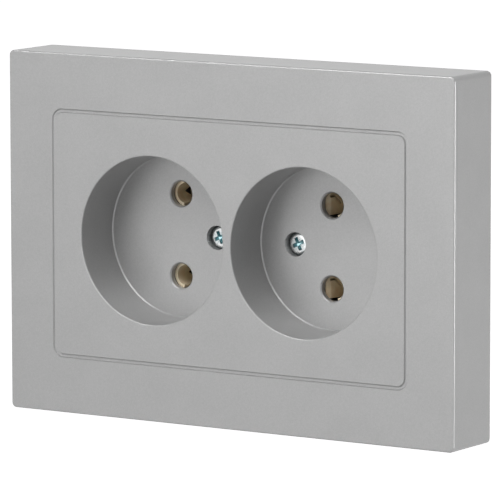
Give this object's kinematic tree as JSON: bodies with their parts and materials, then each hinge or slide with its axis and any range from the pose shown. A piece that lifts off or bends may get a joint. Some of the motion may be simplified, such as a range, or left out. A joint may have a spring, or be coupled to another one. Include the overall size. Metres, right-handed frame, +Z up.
{
  "type": "double wall socket",
  "caption": "Flat rectangular wall socket with two round plug wells side by side, each with pin holes and a sunk screw, on a steel mounting plate with spreading claws.",
  "frame": {"origin": "on the wall plane, midway between the two box screws; it is the mount box_screws", "axes": "+X to the right as seen from the room, +Y into the wall, +Z up"},
  "size_m": [0.1194, 0.0394, 0.0834],
  "materials": {
    "cover": "satin aluminium-grey paint",
    "base": "matt moulded",
    "plate": "galvanised",
    "brass": "pressed, dull",
    "rivet": "plain",
    "screw": "bright zinc"
  },
  "bodies": {
    "socket": {"front_cover": "cover", "cover_screw_left": "screw", "cover_screw_right": "screw", "cover_insert_left": "brass", "cover_insert_right": "brass", "mounting_plate": "plate", "base_housing": "base", "plate_rivet_upper": "rivet", "plate_rivet_lower": "rivet", "contact_bar_upper": "brass", "contact_bar_lower": "brass", "contact_clip_upper_left": "brass", "contact_clip_upper_right": "brass", "contact_clip_lower_left": "brass", "contact_clip_lower_right": "brass", "claw_pin_top": "screw", "claw_pin_bottom": "screw"},
    "clamp_upper": {"terminal_clamp_upper": "screw"},
    "wire_screw_upper": {"terminal_screw_upper": "screw"},
    "clamp_lower": {"terminal_clamp_lower": "screw"},
    "wire_screw_lower": {"terminal_screw_lower": "screw"},
    "spread_screw_top": {"claw_screw_top": "screw"},
    "spread_nut_top": {"claw_nut_top": "screw"},
    "spread_claw_top": {"claw_top": "plate"},
    "spread_screw_bottom": {"claw_screw_bottom": "screw"},
    "spread_nut_bottom": {"claw_nut_bottom": "screw"},
    "spread_claw_bottom": {"claw_bottom": "plate"}
  },
  "joints": [
    {"name": "clamp_upper_slide", "type": "slide", "parent": "socket", "child": "clamp_upper", "axis": [0, 0, -1], "range_m": [0, 0.002]},
    {"name": "wire_screw_upper_turn", "type": "hinge", "parent": "clamp_upper", "child": "wire_screw_upper", "pos_m": [0.011, 0.0164, 0.019], "axis": [0, 0, -1], "range_deg": [0, 1200]},
    {"name": "clamp_lower_slide", "type": "slide", "parent": "socket", "child": "clamp_lower", "axis": [0, 0, 1], "range_m": [0, 0.002]},
    {"name": "wire_screw_lower_turn", "type": "hinge", "parent": "clamp_lower", "child": "wire_screw_lower", "pos_m": [-0.011, 0.0164, -0.019], "axis": [0, 0, 1], "range_deg": [0, 1200]},
    {"name": "spread_screw_top_turn", "type": "hinge", "parent": "socket", "child": "spread_screw_top", "pos_m": [0, 0, 0.0199], "axis": [0, 1, 0], "range_deg": [0, 4200]},
    {"name": "spread_nut_top_slide", "type": "slide", "parent": "socket", "child": "spread_nut_top", "axis": [0, -1, 0], "range_m": [0, 0.007]},
    {"name": "spread_claw_top_swing", "type": "hinge", "parent": "socket", "child": "spread_claw_top", "pos_m": [0, 0.0022, 0.0254], "axis": [1, 0, 0], "range_deg": [0, 20]},
    {"name": "spread_screw_bottom_turn", "type": "hinge", "parent": "socket", "child": "spread_screw_bottom", "pos_m": [0, 0, -0.0199], "axis": [0, 1, 0], "range_deg": [0, 4200]},
    {"name": "spread_nut_bottom_slide", "type": "slide", "parent": "socket", "child": "spread_nut_bottom", "axis": [0, -1, 0], "range_m": [0, 0.007]},
    {"name": "spread_claw_bottom_swing", "type": "hinge", "parent": "socket", "child": "spread_claw_bottom", "pos_m": [0, 0.0022, -0.0254], "axis": [-1, 0, 0], "range_deg": [0, 20]}
  ],
  "couplings": [
    {"joint": "wire_screw_upper_turn", "follows": "clamp_upper_slide", "rad_per_m": 10472},
    {"joint": "wire_screw_lower_turn", "follows": "clamp_lower_slide", "rad_per_m": 10472},
    {"joint": "spread_screw_top_turn", "follows": "spread_nut_top_slide", "rad_per_m": 10472},
    {"joint": "spread_claw_top_swing", "follows": "spread_nut_top_slide", "rad_per_m": 49.866},
    {"joint": "spread_screw_bottom_turn", "follows": "spread_nut_bottom_slide", "rad_per_m": 10472},
    {"joint": "spread_claw_bottom_swing", "follows": "spread_nut_bottom_slide", "rad_per_m": 49.866}
  ]
}
